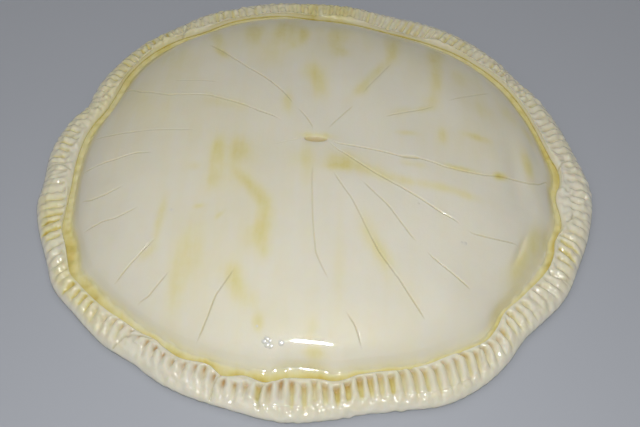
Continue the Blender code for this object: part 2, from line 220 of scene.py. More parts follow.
# ---------------------------------------------------------------- the scored upper round
# Each cut: its path as (millimetres from the vent, degrees), then its stretches as (start,
# end, depth, half its width) in millimetres
CUTS = (
    (((20, 31), (46, 30.3), (66, 28.5), (88, 30.1), (110, 31.1), (127, 32)),
     ((42, 72, 0.25, 0.4), (82, 114, 0.17, 0.4))),
    (((15, 59.7), (32, 56.6), (52, 58.8), (78, 59.7), (120, 60)),
     ((12, 34, 0.22, 0.36), (46, 80, 0.14, 0.4))),
    (((9.6, 104), (27, 115.6), (40, 118.2), (51, 120.6), (61, 123), (70, 125.1), (83, 126.6),
      (94, 127.2), (109, 128.3)),
     ((8, 26, 0.17, 0.32), (32, 106, 0.33, 0.4))),
    (((40, 133), (60, 138), (76, 142.5), (94, 148.2), (125, 149)),
     ((72, 96, 0.14, 0.32),)),
    (((12, 141), (30, 144), (37, 146.6), (47, 147.6), (59, 149.6), (69, 150.6), (80, 153.5),
      (91, 156), (100, 156), (110, 156), (118, 154.9), (123, 154.6)),
     ((26, 44, 0.28, 0.64), (42, 126, 0.5, 0.48))),
    (((70, 173.9), (88, 173.8), (99, 174.2), (112, 174), (122, 173.4)),
     ((66, 96, 0.14, 0.32), (94, 125, 0.3, 0.4))),
    (((7, 174), (20, 188), (60, 187), (88, 184.8), (95, 184), (105, 184.8), (120, 185)),
     ((6, 22, 0.17, 0.32), (86, 125, 0.36, 0.44))),
    (((100, 196), (112, 196.6), (120, 196), (123, 194.9)), ((102, 125, 0.39, 0.44),)),
    (((100, 206), (110, 205.6), (116, 204.4), (126, 203.9)), ((98, 127, 0.28, 0.4),)),
    (((90, 219), (104, 219.5), (111, 220.1), (116, 220.4), (124, 221)),
     ((99, 126, 0.5, 0.48),)),
    (((90, 230), (111, 229.9), (119, 229.9), (123, 229)), ((105, 125, 0.33, 0.44),)),
    (((80, 246), (95, 245.2), (102, 244.6), (112, 245.3), (118, 245.5)),
     ((88, 124, 0.44, 0.52),)),
    (((18, 266), (37, 268.8), (70, 272), (83, 275.9), (107, 282.2), (115, 282.9)),
     ((18, 84, 0.14, 0.32), (100, 117, 0.3, 0.4))),
    (((26, 294.2), (42, 297), (64, 296.2), (75, 296.3), (91, 298.1), (101, 298.7),
      (111, 299.5)),
     ((24, 68, 0.19, 0.32), (64, 113, 0.39, 0.44))),
    (((30, 313.4), (46, 313), (54, 313.3), (64, 311.9), (75, 310.9), (90, 311.7),
      (100, 313.1), (110, 314.3)),
     ((36, 78, 0.22, 0.36), (86, 112, 0.39, 0.44))),
    (((5, 345), (12, 335.2), (19, 331.7), (23, 329.7), (36, 327.2), (52, 327.6), (64, 327.8),
      (75, 327.6), (82, 328.4), (94, 328), (105, 331.4), (114, 334.2)),
     ((6, 86, 0.41, 0.4), (92, 116, 0.3, 0.4))),
    (((4, 360), (12, 356.1), (22, 354.7), (32, 352.8), (45, 350.5), (53, 352.1), (61, 351.7),
      (68, 350.8), (78, 351.3), (89, 352.4), (97, 354.1), (105, 355.1), (114, 355.6),
      (120, 357.2), (124, 359.6)),
     ((4, 46, 0.33, 0.36), (42, 57, 0.5, 1.1), (54, 127, 0.41, 0.4))),
)
# Columns beside a cut: how far off it in half widths, and the height there as a share of its
# depth. The last one is where the lid is level again
CUT_COLUMNS = (
    (0.0, -1.0), (0.4, -0.66), (0.8, -0.14), (1.2, 0.05), (1.8, 0.09), (2.8, 0.05), (4.2, 0.0),
)
CUT_COLUMNS_SHARE = 0.3  # the most of the way to the next cut that they take up
LID_COLUMNS = 700
CUT_END = 5.0  # how long a cut's end takes to rise
PATH_REACH = 140.0
PATH_STEP = 0.5
PATH_SOFTNESS = 9  # steps

LID_RADIUS = 124.0  # about how far out its foot is
VENT_SHARE = 0.034  # where the lid's rings give way to the vent, as a share of the way out
LID_SHARES = (VENT_SHARE, 0.3, 0.84, 1.0)  # the lid's zones, as shares of the way to its foot
LID_ZONE_RINGS = (16, 46, 56)
LID_FADE = (0.9, 1.0)  # shares of the way out between which its swellings die away
SETTLING_ROUNDS = 4  # how often values that need each other are worked out again
FOOT_POWER = 28  # how late on its way out the lid takes up the waves of its foot
LID_SINK = ((0.5, -0.6), (0.9, -1.6), (0.9, -4.4))  # rings under its foot: outwards, and up

# Swellings and hollows of the lid: middle x and y, half length and half width, which way the
# length runs in degrees, and height, all in millimetres
RELIEF = (
    (105, 1, 17, 4.5, 92, -0.8), (114.5, 3, 20, 4, 94, 0.5), (105, -17, 9, 6, 80, -0.5),
    (120.5, 18, 9, 2.8, 99, -0.7), (105, -52, 9, 1.5, 66, -1.2), (109, -54, 9, 2.5, 66, 0.5),
    (118, -26, 10, 3.5, 75, 0.3), (-112, -6, 8, 4, 100, 0.3), (-106, -30, 9, 4, 10, 0.4),
    (-108, -26, 8, 3, 12, 0.3), (-95, 30, 20, 9, 120, 0.4), (-15, -70, 34, 10, 80, 0.25),
    (20, -60, 30, 9, 80, -0.25), (50, 20, 22, 9, 85, -0.3), (70, 60, 26, 9, 95, 0.3),
    (-60, -75, 20, 9, 60, -0.2), (62, 30, 30, 4, 88, -0.15), (-40, 78, 22, 10, 30, 0.3),
    (85, 20, 18, 8, 60, 0.25), (0, 100, 30, 8, 5, 0.3), (15, -116, 12, 6, 0, 0.7),
)
LID_WAVES = (9, (34.0, 80.0), 0.11)

# The vent: a slot opened by a knife's point, held off upright so that its far wall leans back
VENT_LENGTH = 11.4
VENT_WIDTH = 4.4
VENT_DEPTH = 3.4
VENT_MIDDLE = (-0.7, 1.7)
VENT_LEAN = 0.9  # how far forward its floor lies, as a share of how far back its middle does
# Along it and across it: its lip's size as a share of the slot's, and what that grows by for
# each millimetre outwards
VENT_LIP = ((1.12, 0.12), (1.25, 0.45))
VENT_PULL = 8.0  # how far round it the lid's rings take up its shape
VENT_SAG = 0.3  # how far the lid sinks at its lip
# From its lip down: size as a share of the slot's, depth as a share of its, and the painted shade
VENT_WALL = (
    (1.03, 0.03, 0.08), (0.96, 0.18, 0.2), (0.86, 0.5, 0.4), (0.76, 0.85, 0.65),
    (0.4, 1.0, 0.6),
)

# ---------------------------------------------------------------- egg wash
# Stains where the brush left more egg: middle x and y, half length and half width, which way
# the length runs in degrees, and how thick the egg is
STAINS = (
    # Broad thin washes
    (-15, 97, 62, 27, 0, 0.2), (-97, 46, 38, 24, 105, 0.18), (-50, -8, 48, 34, 90, 0.09),
    (-45, -85, 45, 28, 90, 0.07), (78, 68, 42, 26, 125, 0.11), (84, 12, 30, 14, 0, 0.1),
    (12, -106, 38, 9, 0, 0.1), (-100, -20, 30, 12, 95, 0.07),
    # Strokes that run to the far side
    (-62, 93, 16, 3.4, 100, 0.32), (-40, 96, 14, 5, 92, 0.4), (-22, 100, 16, 6.5, 90, 0.46),
    (-11, 94, 10, 3.4, 88, 0.42), (-17, 82, 5, 2.5, 90, 0.28), (9, 92, 16, 4.5, 88, 0.46),
    (12, 76, 5, 4, 88, 0.38), (41, 84, 14, 4.5, 84, 0.4), (44, 104, 10, 6, 90, 0.26),
    (30, 56, 18, 3, 62, 0.36), (23, 41, 5, 4, 62, 0.26), (67, 88, 18, 5.5, 84, 0.38),
    (65, 58, 16, 3.2, 86, 0.36), (62, 38, 6, 4.5, 90, 0.26), (80, 66, 8, 5, 90, 0.2),
    (0, 46, 14, 4.5, 95, 0.4), (-6, 56, 7, 5, 90, 0.26), (-17, 28, 8, 3.6, 95, 0.32),
    (-30, 70, 12, 8, 90, 0.18), (-84, 74, 18, 9, 105, 0.22), (-50, 27, 12, 4, 165, 0.18),
    (-100, 35, 15, 8, 105, 0.12), (92, 38, 10, 6, 130, 0.2), (108, 42, 9, 5, 110, 0.22),
    # Round the vent and on the left
    (0, 3, 8, 2.6, 0, 0.42), (14, -13, 9, 6, 10, 0.44), (13, -17, 8, 2.6, 6, 0.3),
    (26, -18, 9, 4, 172, 0.34), (42, -23, 9, 3, 172, 0.34), (62, -25, 12, 2.6, 176, 0.3),
    (78, -28, 7, 2.4, 170, 0.26), (-7, -12, 7, 5, 60, 0.26), (-4, -20, 10, 4, 90, 0.2),
    (-51, -10, 11, 3.4, 88, 0.5), (-51.5, -28, 7, 2.8, 90, 0.34), (-39, -8, 8, 5, 95, 0.42),
    (-45, -18, 14, 10, 90, 0.16), (-36, -28, 8, 3, 122, 0.36), (-27, -38, 8, 3.8, 116, 0.42),
    (-23, -50, 10, 4.2, 92, 0.36), (-26, -61, 9, 5.6, 76, 0.42), (-22, -70, 5, 3, 90, 0.3),
    (-37, -83, 8, 5, 125, 0.36), (-31, -92, 7, 4.4, 140, 0.32), (-75.5, -52, 13, 2, 86, 0.4),
    (-62, -79, 20, 5.5, 87, 0.3), (-54, -66, 14, 6, 90, 0.13), (-23, -105, 4, 2.4, 90, 0.34),
    (34, -67, 9, 4, 122, 0.34), (27, -54, 8, 4.6, 110, 0.22), (-57, 73, 8, 2, 128, 0.34),
    (-62, -18.5, 2.6, 2.6, 90, 0.3), (-57, -44.5, 2.6, 1.4, 10, 0.3), (-46, -50, 3, 1.2, 50, 0.28),
    (-80, -70, 5, 2.4, 45, 0.28), (14, -75, 22, 3, 92, 0.12), (40, -80, 12, 6, 120, 0.14),
    (4.5, -116.5, 5, 2.4, 0, 0.34), (2.5, -107, 5, 2.4, 80, 0.2),
    # Towards the right edge
    (112, -46, 12, 4.5, 66, 0.42), (103, -62, 11, 4, 56, 0.3),
    (113.5, 4, 11, 2.8, 94, 0.5), (97, -10, 3.6, 2.4, 20, 0.72), (75, -10.5, 9, 1.8, 176, 0.4),
    (85, 14.5, 7, 2.4, 170, 0.34), (67, 12, 6, 2.4, 90, 0.34), (48, 10.5, 5, 1.8, 5, 0.32),
    (57, 31, 5, 2.2, 25, 0.3), (45, 27, 6, 3, 30, 0.22), (50, -12, 6, 2, 175, 0.28),
    (117, 30, 8, 2.6, 110, 0.32),
)
# How a stain fades outwards: the power and the rate that it falls with
STAIN_POWER = 1.2
STAIN_FALL = 0.8
# Beads of egg: middle x and y, and half the width, in millimetres
BEADS = (
    (-18.5, -111.8, 1.2), (-19.7, -112.9, 1.2), (-17.0, -112.6, 1.1), (-18.2, -114.4, 1.3),
    (-16.4, -114.9, 1.2), (-11.6, -113.4, 1.5), (75.9, -56.3, 1.1), (74.2, -56.1, 0.8),
    (-23.3, -106.6, 0.7), (52.6, -37.4, 0.8), (-70.4, -46.6, 0.7),
)
BEAD_FLAT = 0.16  # its height above its middle, as a share of half its width
BEAD_SUNK = 0.05  # how far its middle is under the lid, as a share of half its width
# How far up the lid the pooled egg climbs, in millimetres round it
CLIMB = (
    (0, 3), (20, 3), (40, 4), (70, 6), (110, 6), (150, 4), (175, 3), (200, 3), (215, 3),
    (235, 3.5), (255, 3), (275, 3), (295, 3), (310, 4), (322, 8), (332, 13), (340, 8),
    (348, 4),
)
# How dark the hollow at the lid's foot looks: degrees, and share of the shadow's colour
FOOT_SHADE = (
    (0, 0.08), (30, 0.2), (50, 0.5), (90, 0.7), (130, 0.55), (165, 0.25), (200, 0.1), (240, 0),
    (335, 0),
)
FOOT_SHADE_REACH = 9.0  # how far up the lid it fades out, in millimetres
FOOT_EGG = 0.34  # how thick the egg looks at the lid's foot, as a share of its depth
POOL_HEIGHT = 5.7
POOL_COLUMNS = 900
POOL_WAVES = (12, (4.0, 10.0), 0.05)
# How thick the egg looks along the trench: degrees, and share
POOL_DEPTH = (
    (0, 0.7), (10, 0.75), (20, 0.65), (40, 0.55), (60, 0.45), (75, 0.42), (118, 0.48),
    (129, 0.6), (140, 0.6), (165, 0.5), (175, 0.6), (187, 0.55), (196, 0.65), (202, 0.85),
    (214, 0.8), (226, 0.6), (232, 0.6), (238, 0.65), (245, 0.8), (262, 0.85), (270, 0.75),
    (290, 0.85), (300, 0.75), (312, 0.7), (320, 0.6), (327, 0.65), (336, 0.85), (342, 0.85),
    (348, 0.65), (355, 0.6),
)
# The pool's section: from the lid's foot (0) to the lip (1), or millimetres past them, height
# above the pool, and how thick the egg looks as a share of its depth
POOL_SECTION = (
    ("lid", -1.6, -2.4, 0.0), ("lid", -2.4, 1.5, 0.1), ("lid", -1.6, 1.55, 0.14),
    ("lid", -0.8, 1.35, 0.22), ("between", 0.0, 0.92, FOOT_EGG), ("between", 0.1, 0.5, 0.45),
    ("between", 0.2, 0.27, 0.55), ("between", 0.34, 0.13, 0.68), ("between", 0.5, 0.06, 0.8),
    ("between", 0.7, 0.03, 0.92), ("between", 0.88, 0.1, 1.0), ("lip", -0.1, 0.26, 1.0),
    ("lip", 0.5, 0.5, 1.0), ("lip", 1.2, 0.1, 1.0), ("lip", 0.6, -2.4, 1.0),
)
# How evenly the egg lies across the trench: degrees, and the power its thickness rises with
POOL_RISES = (
    (0, 0.4), (20, 0.4), (60, 0.5), (130, 0.5), (150, 0.35), (190, 0.35), (210, 0.5),
    (232, 0.9), (250, 1.2), (300, 1.2), (318, 0.9), (335, 1.5), (350, 0.6),
)


def smooth_step(low, high, value):
    share = np.clip((value - low) / (high - low), 0.0, 1.0)
    return share * share * (3 - 2 * share)


def around(knots, angle):
    """The values at these angles of a closed smooth curve through (degrees, value) knots."""
    places, values = (np.array(column, float) for column in zip(*knots))
    count = len(knots)
    degrees = np.degrees(angle) % 360.0
    after = np.searchsorted(places, degrees, side="right") % count
    knots_by = [(after + step) % count for step in (-2, -1, 0, 1)]
    where = [(places[knot] - degrees + 180.0) % 360.0 - 180.0 for knot in knots_by]
    what = [values[knot] for knot in knots_by]
    span = where[2] - where[1]
    share = -where[1] / span
    slope_in = (what[2] - what[0]) / (where[2] - where[0]) * span
    slope_out = (what[3] - what[1]) / (where[3] - where[1]) * span
    square, cube = share * share, share**3
    return (
        what[1] * (2 * cube - 3 * square + 1)
        + slope_in * (cube - 2 * square + share)
        + what[2] * (3 * square - 2 * cube)
        + slope_out * (cube - square)
    )


def lid_foot(angle):
    return around(LIP, angle) - around(TRENCH, angle)


def even_foot(angle):
    """The lid's foot without the lip's lobes, which the dome doesn't follow."""
    return sum(lid_foot(angle + math.radians(step)) for step in range(-16, 17, 4)) / 9


def through(points, rows_between):
    """Weights of the points for a smooth line through them, one row for each place on it."""
    rows = []
    count = len(points)
    for start, steps in enumerate(rows_between):
        last = start + 1 == len(rows_between)
        for step in range(steps + (1 if last else 0)):
            share = step / steps
            square, cube = share * share, share**3
            weights = np.zeros(count)
            for offset, weight in (
                (-1, (-cube + 2 * square - share) / 2),
                (0, (3 * cube - 5 * square + 2) / 2),
                (1, (-3 * cube + 4 * square + share) / 2),
                (2, (cube - square) / 2),
            ):
                weights[min(max(start + offset, 0), count - 1)] += weight
            rows.append(weights)
    return np.array(rows)


def ringed_sheet(rows, columns, tube=False):
    """Rings of points: a grid with its two sides joined, and its ends closed or joined too."""
    bm = bmesh.new()
    steps = rows if tube else rows - 1
    bmesh.ops.create_grid(bm, x_segments=columns, y_segments=steps, size=1.0)
    placed = {
        (round((v.co.x + 1) / 2 * columns), round((v.co.y + 1) / 2 * steps)): v
        for v in bm.verts
    }
    joins = {placed[columns, row]: placed[0, row] for row in range(steps + 1)}
    bmesh.ops.weld_verts(bm, targetmap=joins)
    if tube:
        bmesh.ops.weld_verts(
            bm, targetmap={placed[at, steps]: placed[at, 0] for at in range(columns)}
        )
    else:
        for row in (0, steps):
            ring = [placed[at, row] for at in range(columns)]
            bmesh.ops.contextual_create(bm, geom=ring)
    return bm


def mesh_of(bm, name):
    mesh = bpy.data.meshes.new(name)
    bm.to_mesh(mesh)
    bm.free()
    return mesh


def rows_and_columns(mesh, steps, columns):
    """Which row and which column of a ringed sheet each of its points is on."""
    flat = np.zeros(len(mesh.vertices) * 3)
    mesh.vertices.foreach_get("co", flat)
    place = (flat.reshape(-1, 3) + 1) / 2
    return np.rint(place[:, 1] * steps).astype(int), np.rint(place[:, 0] * columns).astype(int)


def put_points(mesh, x, y, z):
    mesh.vertices.foreach_set("co", (np.stack([x, y, z], -1) * MM).astype(np.float32).ravel())
    bm = bmesh.new()
    bm.from_mesh(mesh)
    bmesh.ops.triangulate(bm, faces=[face for face in bm.faces if len(face.verts) > 4])
    bmesh.ops.recalc_face_normals(bm, faces=bm.faces[:])
    bm.to_mesh(mesh)
    bm.free()
    mesh.shade_smooth()


def waves_at(x, y, count, lengths, height, seed):
    """Low swells that cross one another, at a point in millimetres."""
    dice = random.Random(seed)
    total = 0.0 * x
    for _ in range(count):
        wave = math.tau / dice.uniform(*lengths)
        turn, start = dice.uniform(0, math.tau), dice.uniform(0, math.tau)
        total = total + height * np.sin(
            wave * (x * math.cos(turn) + y * math.sin(turn)) + start
        )
    return total


def note(mesh, name, values):
    """Keep a number for each point of a mesh, for its material to read."""
    attribute = mesh.attributes.new(name, "FLOAT", "POINT")
    attribute.data.foreach_set("value", values.astype(np.float32))


def put_in_scene(name, data):
    thing = bpy.data.objects.new(name, data)
    bpy.context.scene.collection.objects.link(thing)
    return thing


def piece(name, mesh, material):
    thing = put_in_scene(name, mesh)
    mesh.materials.append(material)
    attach(thing, "root")
    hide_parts("galette")


def ringed_piece(name, material, slot, points, tube=False, **notes):
    """A piece whose points lie on rings, one row for each, and the numbers that it keeps."""
    rows, columns = points[0].shape
    mesh = mesh_of(ringed_sheet(rows, columns, tube), name)
    row, column = rows_and_columns(mesh, rows if tube else rows - 1, columns)
    put_points(mesh, *(values[row, column] for values in points))
    for label, values in notes.items():
        note(mesh, label, values[row, column])
    piece(name, mesh, material)


# ---------------------------------------------------------------- finishes
class Amount:
    """A number that changes over a surface. Sums and products of it add Math nodes."""

    def __init__(self, tree, socket):
        self.tree = tree
        self.socket = socket

    def _with(self, operation, *others):
        node = self.tree.nodes.new("ShaderNodeMath")
        node.operation = operation
        for place, value in enumerate(others):
            if isinstance(value, Amount):
                self.tree.links.new(value.socket, node.inputs[place])
            else:
                node.inputs[place].default_value = value
        return Amount(self.tree, node.outputs[0])

    def __add__(self, other):
        return self._with("ADD", self, other)

    def __radd__(self, other):
        return self._with("ADD", other, self)

    def __sub__(self, other):
        return self._with("SUBTRACT", self, other)

    def __rsub__(self, other):
        return self._with("SUBTRACT", other, self)

    def __mul__(self, other):
        return self._with("MULTIPLY", self, other)

    def __rmul__(self, other):
        return self._with("MULTIPLY", other, self)

    def between(self, low, high):
        return self._with("MAXIMUM", self._with("MINIMUM", self, high), low)


class Finish:
    """A material, and the nodes that it is made of."""

    def __init__(self, name):
        self.material = bpy.data.materials.new(name)
        self.material.use_nodes = True
        self.tree = self.material.node_tree
        self.shader = self.tree.nodes["Principled BSDF"]

    def node(self, kind, settings=None, inputs=None, output=0):
        """Add a node of this type, and give one of its outputs."""
        made = self.tree.nodes.new(kind)
        for name, value in (settings or {}).items():
            if name == "stops":
                ramp = made.color_ramp
                for place, colour in value:
                    if place in (0.0, 1.0):
                        ramp.elements[0 if place == 0.0 else -1].color = colour
                    else:
                        ramp.elements.new(place).color = colour
            else:
                setattr(made, name, value)
        for name, value in (inputs or {}).items():
            self.set(made.inputs[name], value)
        return Amount(self.tree, made.outputs[output])

    def set(self, socket, value):
        if isinstance(value, Amount):
            self.tree.links.new(value.socket, socket)
        else:
            socket.default_value = value

    def kept(self, name):
        """The number of this name that a mesh keeps for each of its points."""
        return self.node("ShaderNodeAttribute", {"attribute_name": name}, output=2)

    def stretched(self, place, scale):
        return self.node("ShaderNodeMapping", None, {"Vector": place, "Scale": scale})

    def noise(self, place, scale, detail, roughness):
        return self.node(
            "ShaderNodeTexNoise", None,
            {"Vector": place, "Scale": scale, "Detail": detail, "Roughness": roughness},
        )

    def bumps(self, height, strength, distance):
        return self.node(
            "ShaderNodeBump", None,
            {"Height": height, "Strength": strength, "Distance": distance},
        )

    def egg_coloured(self, thickness):
        return self.node("ShaderNodeValToRGB", {"stops": EGG_COLOURS}, {"Fac": thickness})

    def tinted(self, share, colour, tint):
        """A colour that is multiplied by a tint, as far as the share says."""
        return self.node(
            "ShaderNodeMix", {"data_type": "RGBA", "blend_type": "MULTIPLY"},
            {0: share, 6: colour, 7: tint}, output=2,
        )

    def surface(self, **inputs):
        for name, value in inputs.items():
            self.set(self.shader.inputs[name.replace("_", " ")], value)
        return self.material


def linear(red, green, blue):
    """A colour as a paint chart gives it, out of 255, as the renderer needs it."""
    shares = (red / 255, green / 255, blue / 255)
    return tuple(
        s / 12.92 if s <= 0.04045 else ((s + 0.055) / 1.055) ** 2.4 for s in shares
    ) + (1.0,)


# Dough under thicker and thicker egg
EGG_COLOURS = (
    (0.0, linear(232, 228, 211)), (0.2, linear(232, 226, 196)), (0.4, linear(230, 222, 173)),
    (0.6, linear(226, 215, 146)), (0.8, linear(217, 200, 114)), (1.0, linear(204, 178, 80)),
)


def egg_thickness(finish, strokes_share):
    """How thick the egg is over a surface, with the streaks and the edges a brush leaves."""
    place = finish.node("ShaderNodeTexCoord", output=3)
    strokes = finish.noise(finish.stretched(place, (1.0, 0.16, 0.5)), 130.0, 3.0, 0.55)
    mottle = finish.noise(place, 240.0, 2.0, 0.5)
    broken = finish.kept("wash") * (0.2 + 1.1 * strokes + 0.45 * mottle)
    return (broken + (strokes - 0.42) * strokes_share).between(0.0, 1.0), place


def dough_finish(name, unevenness, roughness):
    """Dough under a coat of egg, with a warm shade painted into its folds and a darker shade
    painted into its cuts, creases and hollows.
    """
    finish = Finish(name)
    thickness, place = egg_thickness(finish, 0.22)
    colour = finish.egg_coloured(thickness)
    # Painted shade: a warm shade, then a darker one, multiplied into the egg's colour
    colour = finish.tinted(finish.kept("tan"), colour, linear(214, 184, 140))
    colour = finish.tinted(finish.kept("dark"), colour, linear(170, 166, 142))
    fat = finish.noise(place, 42.0, 4.0, 0.6)
    marbling = (fat - 0.45).between(0.0, 1.0) * 0.5
    fine = finish.noise(place, 650.0, 2.0, 0.5)
    bristles = finish.noise(finish.stretched(place, (1.0, 0.07, 1.0)), 900.0, 1.0, 0.5)
    return finish.surface(
        Base_Color=finish.tinted(marbling, colour, linear(232, 229, 222)),
        Roughness=roughness - 0.14 * thickness,
        Normal=finish.bumps(fine * 0.5 + bristles * 0.35, unevenness, 0.0003),
        Coat_Weight=(0.4 + 0.5 * thickness).between(0.0, 1.0),
        Coat_Roughness=0.035,
        Coat_IOR=1.7,
        Subsurface_Weight=0.35,
        Subsurface_Radius=(1.0, 0.72, 0.4),
        Subsurface_Scale=0.0035,
    )


def egg_finish(name, unevenness, roughness):
    """Wet egg with no coat over it, so that its small waves break up the light on it."""
    finish = Finish(name)
    thickness, place = egg_thickness(finish, 0.1)
    swirl = finish.noise(place, 160.0, 1.0, 0.4)
    return finish.surface(
        Base_Color=finish.egg_coloured(thickness),
        Roughness=roughness + 0.06 * swirl,
        Normal=finish.bumps(swirl, unevenness, 0.0009),
        IOR=1.7,
        Subsurface_Weight=0.25,
        Subsurface_Radius=(1.0, 0.7, 0.3),
        Subsurface_Scale=0.003,
    )


# ---------------------------------------------------------------- the crimped lower round
def fork_marks():
    """Each fork mark's angle, depth, lean and height, press by press."""
    dice = random.Random(11)
    marks = []
    for press in range(PRESSES):
        lean = dice.uniform(-LEAN_JITTER, LEAN_JITTER)
        weight = math.sqrt(dice.uniform(*GROOVE_SPREAD))
        height = dice.uniform(*HEIGHT_SPREAD)
        for tine in range(TINES):
            turn = (press * TINES + tine + dice.uniform(-MARK_JITTER, MARK_JITTER)) / MARKS
            angle = math.tau * turn + PITCH_DRIFT * math.cos(math.tau * turn)
            depth = GROOVE_DEPTH * weight * math.sqrt(dice.uniform(*GROOVE_SPREAD))
            depth *= max(around(PRESSED, angle), 0.0)
            marks.append((angle, depth, around(LEAN, angle) + lean, height))
    return np.array(marks)


def mark_columns():
    """For each column of the rim: its angle, its lean, its height, its mark's number and depth,
    and how far it is from the middle of the mark, in pitches."""
    marks = fork_marks()
    phase = np.tile(np.arange(COLUMNS_A_MARK) / COLUMNS_A_MARK - 0.5, MARKS)
    here = np.repeat(np.arange(MARKS), COLUMNS_A_MARK)
    beside = np.where(phase < 0, here - 1, here + 1)
    turns = np.where(beside < 0, -math.tau, np.where(beside >= MARKS, math.tau, 0.0))
    beside %= MARKS
    share = np.abs(phase)
    share = share * (0.6 + 0.8 * share)  # closer together in the mark than on the ridge
    angle, lean, height = (
        marks[here, value] * (1 - share) + (marks[beside, value] + extra) * share
        for value, extra in ((0, turns), (2, 0.0), (3, 0.0))
    )
    return angle, lean, height, here, marks[here, 1], share


def crease_at(x, y):
    """How deep the creases are at a point of the rim."""
    depth = 0.0 * x
    for path, deep, wide in CREASES:
        points = [
            (r * math.cos(math.radians(turn)), r * math.sin(math.radians(turn)))
            for turn, r in path
        ]
        nearest = np.full(x.shape, 1e9)
        for (ax, ay), (bx, by) in zip(points, points[1:]):
            span = (bx - ax) ** 2 + (by - ay) ** 2
            t = np.clip(((x - ax) * (bx - ax) + (y - ay) * (by - ay)) / span, 0.0, 1.0)
            off = np.hypot(x - ax - t * (bx - ax), y - ay - t * (by - ay))
            nearest = np.minimum(nearest, off)
        depth = np.maximum(depth, deep * np.exp(-((nearest / wide) ** 2)))
    return depth


def crimped_rim(material):
    angle, lean, height, mark, depth, share = mark_columns()
    edge, lip, roll, trench = (around(curve, angle) for curve in (EDGE, LIP, ROLL, TRENCH))
    base = {
        "edge": edge, "roll": lip + roll, "crest": lip + CREST_SHARE * roll, "lip": lip,
        "trench": lip - trench / 2, "foot": lip - trench,
    }
    weights = through(SECTION, ROWS_BETWEEN)
    radius = weights @ np.array([base[where] - inset for where, inset, _ in SECTION])
    up = weights @ np.array([rise + 0.0 * angle for _, _, rise in SECTION])
    firm = [0.0 if where in ("trench", "foot") or rise < 1 else 1.0 for where, _, rise in SECTION]
    over = (weights @ np.array(firm))[:, None]
    up *= 1 + over * (height - 1)
    top = np.zeros((len(weights), 1))
    top[sum(ROWS_BETWEEN[:4]):sum(ROWS_BETWEEN[:12])] = 1.0

    # Each mark: how far a point is across it and along it
    dice = np.random.RandomState(5)
    starts = lip + roll - around(MARK_ONSET, angle)
    starts = starts + dice.uniform(-END_JITTER, END_JITTER * 0.6, MARKS)[mark]
    stops = edge - around(MARK_STOP, angle) + dice.uniform(-END_JITTER, END_JITTER, MARKS)[mark]
    pitch = math.tau / MARKS * MARK_RADIUS
    across = share * pitch
    floor = around(MARK_FLOOR, angle) * dice.uniform(0.7, 1.3, MARKS)[mark]
    out = np.clip((radius - starts) / (stops - starts), 0.0, 1.0)
    narrow = 1 - MARK_NARROWS * out
    beside = np.clip((across - floor * narrow) / ((MARK_WALL - floor) * narrow), 0.0, 1.0)
    groove = (1 - beside) ** MARK_WALL_POWER
    ramp = around(MARK_RAMP, angle)
    along = smooth_step(starts - 0.5, starts + ramp, radius) * top
    along = along * (1 - out**1.5) ** (2 * around(MARK_FADE, angle))
    bite = 1 + TIP_BITE * (1 - smooth_step(starts + 1, starts + 5, radius))
    ridge = smooth_step(MARK_WALL * 0.5, pitch / 2, across) * (1 - smooth_step(0.7, 1.0, out))
    # Columns lean with their press, from the roll outwards
    lead = lean * (radius - (edge + lip) / 2) / radius * over
    turned = angle + lead * smooth_step(lip - 1, lip + 4, radius)
    x, y = radius * np.cos(turned), radius * np.sin(turned)
    creased = crease_at(x, y) * top
    pressed = around(PRESSED, angle).clip(0.0, 1.0)
    up = up - around(MARK_SOFTNESS, angle) * depth * groove * along * bite
    crown = smooth_step(starts - 0.5, starts + 1 + ramp, radius) * top
    up = up + RIDGE_CROWN * pressed * ridge * crown - creased
    up = up + waves_at(x, y, *RIM_WAVES, 8) * over * smooth_step(lip, lip + 2, radius)

    uneven = dice.uniform(0.45, 1.25, MARKS)[mark]
    in_marks = np.clip(around(EGG_IN_MARKS, angle) * uneven, 0.0, 1.0) * groove**0.6
    in_marks = in_marks * smooth_step(0.0, 0.12, out) * (1 - smooth_step(0.7, 1.0, out)) * top
    on_ridges = around(EGG_ON_RIDGES, angle).clip(0.0, 1.0) * top
    on_ridges = on_ridges * (1 - smooth_step(edge - 3, edge - 0.5, radius))
    near_pool = 1 - smooth_step(POOL_HEIGHT + 0.3, POOL_HEIGHT + 2.6, up)
    inside = 1 - smooth_step(lip - 0.5, lip + 1.5, radius)
    wet = np.maximum(in_marks, on_ridges)
    wet = np.maximum(wet, near_pool * inside)
    wet = np.maximum(wet, 0.25 * np.clip(creased, 0.0, 1.0))
    # Painted warm shade deep in the marks, most at their inner ends, and a painted shadow along
    # the lip's foot beside the pool
    warm = around(WARMTH, angle).clip(0.0, 1.0)
    shade = 0.7 * groove * (1 - smooth_step(0.0, 0.85, out))
    shade = warm * along * (shade + 0.8 * groove**3 * (1 - smooth_step(0.05, 0.45, out)))
    shade = np.maximum(shade, (0.12 + 0.45 * warm) * near_pool * inside)
    # Painted shade in the creases
    dark = np.clip(0.45 * creased, 0.0, 1.0)
    ringed_piece(
        "crimped_lower_round", material, "dough", (x, y, up), wash=wet, tan=shade, dark=dark
    )


# ---------------------------------------------------------------- the scored upper round
def cut_paths():
    """Each cut's angle at every step out from the vent, in radians."""
    radii = np.arange(0.0, PATH_REACH, PATH_STEP)
    kernel = np.hanning(PATH_SOFTNESS + 2)[1:-1]
    kernel /= kernel.sum()
    paths = []
    for knots, _ in CUTS:
        places, degrees = zip(*knots)
        line = np.interp(radii, places, degrees)
        padded = np.pad(line, PATH_SOFTNESS // 2, mode="edge")
        paths.append(np.radians(np.convolve(padded, kernel, mode="valid")))
    return radii, np.array(paths)


